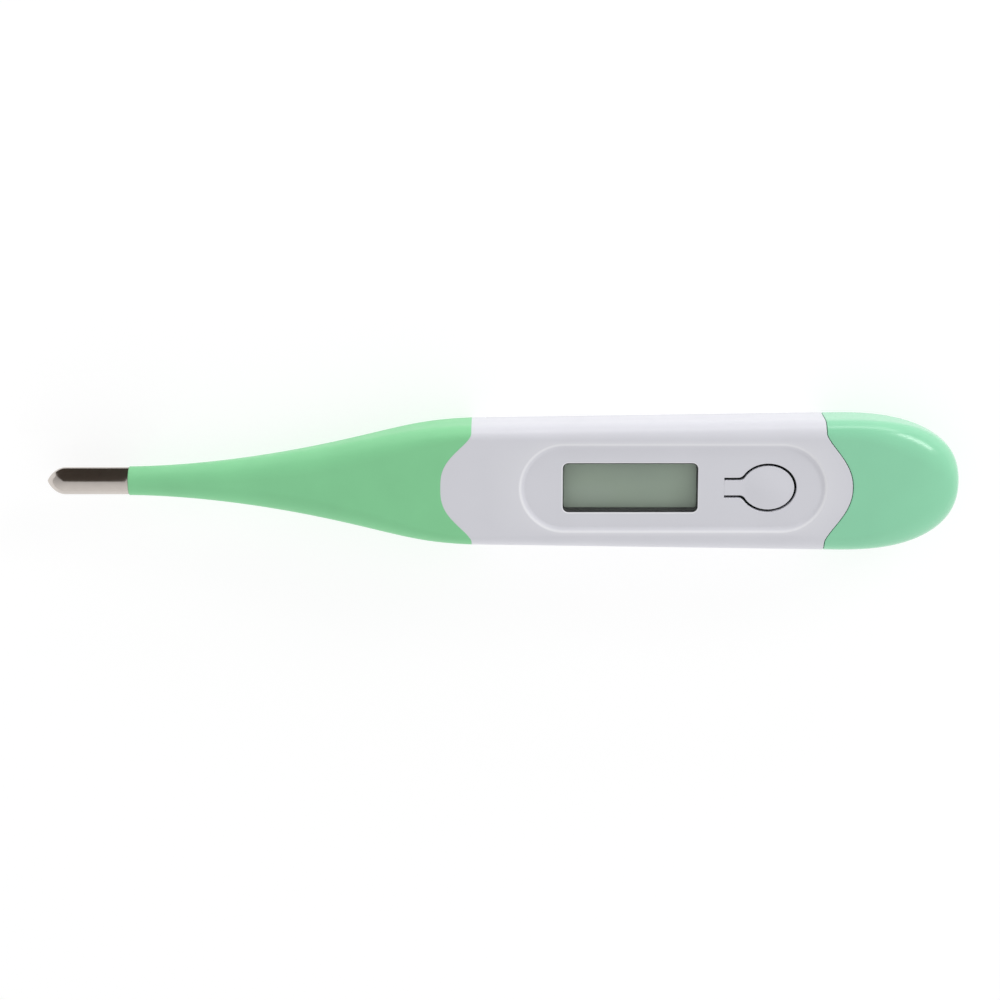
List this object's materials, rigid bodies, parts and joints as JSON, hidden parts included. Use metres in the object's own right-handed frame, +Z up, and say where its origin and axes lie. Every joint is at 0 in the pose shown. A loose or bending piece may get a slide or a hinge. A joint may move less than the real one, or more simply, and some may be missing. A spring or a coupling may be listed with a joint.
{
  "type": "digital thermometer",
  "caption": "Slim flexible-tip digital clinical thermometer with a steel probe, soft tapering stem, display window, push button and pull-off battery cover.",
  "frame": {"origin": "on the table under the middle of the length, with the thermometer lying on its back", "axes": "+X from the steel probe to the battery cover, +Y across the body, +Z up through the display"},
  "size_m": [0.13, 0.0188, 0.0102],
  "materials": {
    "steel": "polished stainless steel",
    "stem_elastomer": "satin mint-green thermoplastic elastomer",
    "white_abs": "semi-gloss white ABS",
    "mint_abs": "glossy mint-green ABS",
    "clear_plastic": "clear polished acrylic",
    "adhesive": "white adhesive tape",
    "silicone": "dark grey silicone rubber",
    "carbon": "carbon-filled contact",
    "film": "polarising film",
    "display_glass": "liquid crystal glass",
    "reflector": "grey-green reflective film",
    "zebra": "layered conductive elastomer",
    "frame_plastic": "moulded white frame",
    "board": "green solder mask on glass laminate",
    "resin": "black potting resin",
    "epoxy": "heat-conducting epoxy",
    "ceramic": "fired ceramic",
    "chip_black": "black chip resistor",
    "tin": "tin-plated metal",
    "brass": "bright brass",
    "wire": "enamelled copper wire",
    "sleeve": "thin polymer sleeve",
    "nickel": "nickel-plated steel",
    "seal_rubber": "black nitrile rubber"
  },
  "bodies": {
    "housing": {"sensor_wires": "wire", "wire_sleeve": "sleeve", "flexible_stem": "stem_elastomer", "front_housing": "white_abs", "back_cover": "white_abs", "display_lens": "clear_plastic", "lens_gasket": "adhesive", "lcd_front_polariser": "film", "lcd_glass": "display_glass", "lcd_reflector": "reflector", "zebra_strip": "zebra", "lcd_frame": "frame_plastic", "key_rubber": "silicone", "circuit_board": "board", "board_screws": "tin", "chip_resin": "resin", "resistors": "chip_black", "capacitors": "ceramic", "solder_joints": "tin", "buzzer_disc": "brass", "buzzer_ceramic": "ceramic", "buzzer_wires": "wire", "battery_holder": "frame_plastic", "battery": "nickel", "positive_contact": "nickel", "negative_contact": "nickel", "cover_seal": "seal_rubber"},
    "button": {"button": "white_abs", "carbon_pill": "carbon"},
    "battery_cover": {"battery_cover": "mint_abs"},
    "probe": {"probe_tip": "steel", "tip_epoxy": "epoxy", "thermistor": "resin"}
  },
  "joints": [
    {"name": "button_press", "type": "hinge", "parent": "housing", "child": "button", "pos_m": [0.0313, 0, 0.00935], "axis": [0, 1, 0], "range_deg": [0, 4.5], "stiffness_Nm_per_rad": 0.06, "deforming": ["key_rubber"]},
    {"name": "cover_slide", "type": "slide", "parent": "housing", "child": "battery_cover", "axis": [1, 0, 0], "range_m": [0, 0.02]},
    {"name": "stem_bend", "type": "hinge", "parent": "housing", "child": "probe", "pos_m": [-0.031, 0, 0.0051], "axis": [0, 1, 0], "range_deg": [-40, 40], "stiffness_Nm_per_rad": 0.05, "deforming": ["flexible_stem", "sensor_wires", "wire_sleeve"]}
  ]
}
